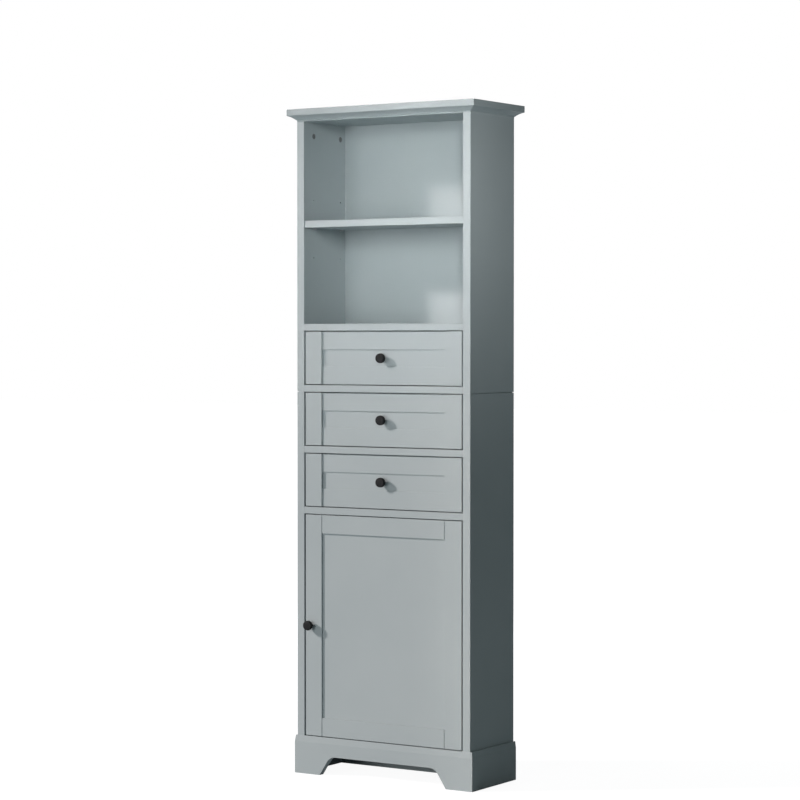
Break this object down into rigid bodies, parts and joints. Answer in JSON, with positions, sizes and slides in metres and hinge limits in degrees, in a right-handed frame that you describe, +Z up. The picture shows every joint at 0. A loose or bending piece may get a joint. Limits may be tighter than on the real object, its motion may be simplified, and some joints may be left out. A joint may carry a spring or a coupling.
{
  "type": "freestanding bathroom cabinet",
  "caption": "Tall freestanding cabinet with a coved cornice, an open shelved bay, inset framed drawers and an inset hinged door on an arched plinth.",
  "frame": {"origin": "on the floor under the middle of the whole object", "axes": "+X to the right seen from the front, +Y to the back, +Z up; the front faces -Y"},
  "size_m": [0.571, 0.255, 1.735],
  "materials": {
    "painted_board": "satin grey-blue paint on fibreboard",
    "inner_board": "matt grey-blue board",
    "black_knob": "satin black",
    "zinc_steel": "zinc plated",
    "catch_plastic": "matt moulded",
    "beech": "bare turned wood"
  },
  "bodies": {
    "carcass": {"bay_floor": "painted_board", "bottom_board": "painted_board", "cam_locks": "zinc_steel", "cornice_cove": "painted_board", "cupboard_shelf": "inner_board", "cupboard_top": "painted_board", "drawer_rail": "painted_board", "hinge_arms": "zinc_steel", "hinge_plate_screws": "zinc_steel", "hinge_plates": "zinc_steel", "lower_back_panel": "inner_board", "lower_back_rail": "painted_board", "lower_side_left": "painted_board", "lower_side_right": "painted_board", "magnetic_catch": "catch_plastic", "open_shelf": "painted_board", "plinth_back": "painted_board", "plinth_front": "painted_board", "plinth_left": "painted_board", "plinth_right": "painted_board", "shelf_pins": "zinc_steel", "slide_outer_members": "zinc_steel", "stacking_dowels": "beech", "sub_top_board": "painted_board", "top_board": "painted_board", "upper_back_panel": "painted_board", "upper_bottom_board": "painted_board", "upper_side_left": "painted_board", "upper_side_right": "painted_board"},
    "drawer_1": {"drawer_1_bottom": "inner_board", "drawer_1_box": "inner_board", "drawer_1_front_frame": "painted_board", "drawer_1_front_panel": "painted_board", "drawer_1_knob": "black_knob", "drawer_1_slide_inner": "zinc_steel"},
    "runner_1": {"drawer_1_slide_middle": "zinc_steel"},
    "drawer_2": {"drawer_2_bottom": "inner_board", "drawer_2_box": "inner_board", "drawer_2_front_frame": "painted_board", "drawer_2_front_panel": "painted_board", "drawer_2_knob": "black_knob", "drawer_2_slide_inner": "zinc_steel"},
    "runner_2": {"drawer_2_slide_middle": "zinc_steel"},
    "drawer_3": {"drawer_3_bottom": "inner_board", "drawer_3_box": "inner_board", "drawer_3_front_frame": "painted_board", "drawer_3_front_panel": "painted_board", "drawer_3_knob": "black_knob", "drawer_3_slide_inner": "zinc_steel"},
    "runner_3": {"drawer_3_slide_middle": "zinc_steel"},
    "door": {"catch_plate": "zinc_steel", "door_knob": "black_knob", "door_panel": "painted_board", "door_rail_bottom": "painted_board", "door_rail_top": "painted_board", "door_stile_left": "painted_board", "door_stile_right": "painted_board", "hinge_cup_screws": "zinc_steel", "hinge_cups": "zinc_steel"}
  },
  "joints": [
    {"name": "drawer_1_slide", "type": "slide", "parent": "carcass", "child": "drawer_1", "axis": [0, -1, 0], "range_m": [0, 0.15]},
    {"name": "runner_1_slide", "type": "slide", "parent": "carcass", "child": "runner_1", "axis": [0, -1, 0], "range_m": [0, 0.075]},
    {"name": "drawer_2_slide", "type": "slide", "parent": "carcass", "child": "drawer_2", "axis": [0, -1, 0], "range_m": [0, 0.15]},
    {"name": "runner_2_slide", "type": "slide", "parent": "carcass", "child": "runner_2", "axis": [0, -1, 0], "range_m": [0, 0.075]},
    {"name": "drawer_3_slide", "type": "slide", "parent": "carcass", "child": "drawer_3", "axis": [0, -1, 0], "range_m": [0, 0.15]},
    {"name": "runner_3_slide", "type": "slide", "parent": "carcass", "child": "runner_3", "axis": [0, -1, 0], "range_m": [0, 0.075]},
    {"name": "door_hinge", "type": "hinge", "parent": "carcass", "child": "door", "pos_m": [0.2165, -0.0965, 0.3905], "axis": [0, 0, 1], "range_deg": [0, 95]}
  ],
  "couplings": [
    {"joint": "runner_1_slide", "follows": "drawer_1_slide", "ratio": 0.5},
    {"joint": "runner_2_slide", "follows": "drawer_2_slide", "ratio": 0.5},
    {"joint": "runner_3_slide", "follows": "drawer_3_slide", "ratio": 0.5}
  ]
}
